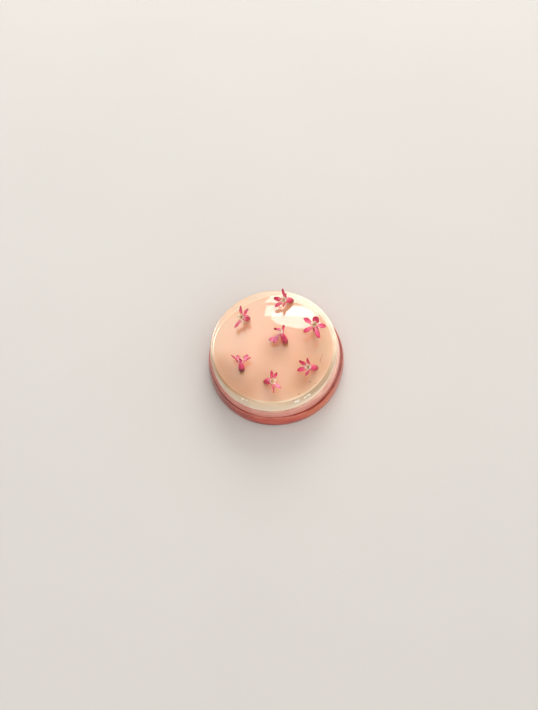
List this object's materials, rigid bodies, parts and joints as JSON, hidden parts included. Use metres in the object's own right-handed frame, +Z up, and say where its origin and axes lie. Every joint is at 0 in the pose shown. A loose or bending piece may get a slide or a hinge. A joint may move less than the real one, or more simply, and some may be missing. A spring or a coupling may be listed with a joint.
{
  "type": "rhubarb pastry",
  "caption": "Low round layered pastry: ribbon-wrapped rhubarb layers, ivory cream and a peach glaze disc, with currant blossoms on top.",
  "frame": {"origin": "centre of the pastry's flat foot, on the surface it stands on", "axes": "+Z up, +Y to the back of the pastry as pictured, +X to its right"},
  "size_m": [0.0762, 0.0758, 0.0339],
  "materials": {
    "lower_rhubarb": "moist dark pink rhubarb ribbons with a soft shine",
    "upper_rhubarb": "moist pale pink rhubarb ribbons with a soft shine",
    "cream": "smooth ivory cream with a thin gel shine",
    "glaze": "mirror-smooth peach glaze",
    "blossom": "soft satin pink petals"
  },
  "bodies": {
    "root": {"lower_rhubarb_layer": "lower_rhubarb", "upper_rhubarb_layer": "upper_rhubarb", "cream_layer": "cream", "peach_glaze": "glaze", "blossom_back": "blossom", "blossom_back_left": "blossom", "blossom_right": "blossom", "blossom_front_left": "blossom", "blossom_front": "blossom", "blossom_front_right": "blossom", "blossom_middle": "blossom"}
  },
  "joints": []
}
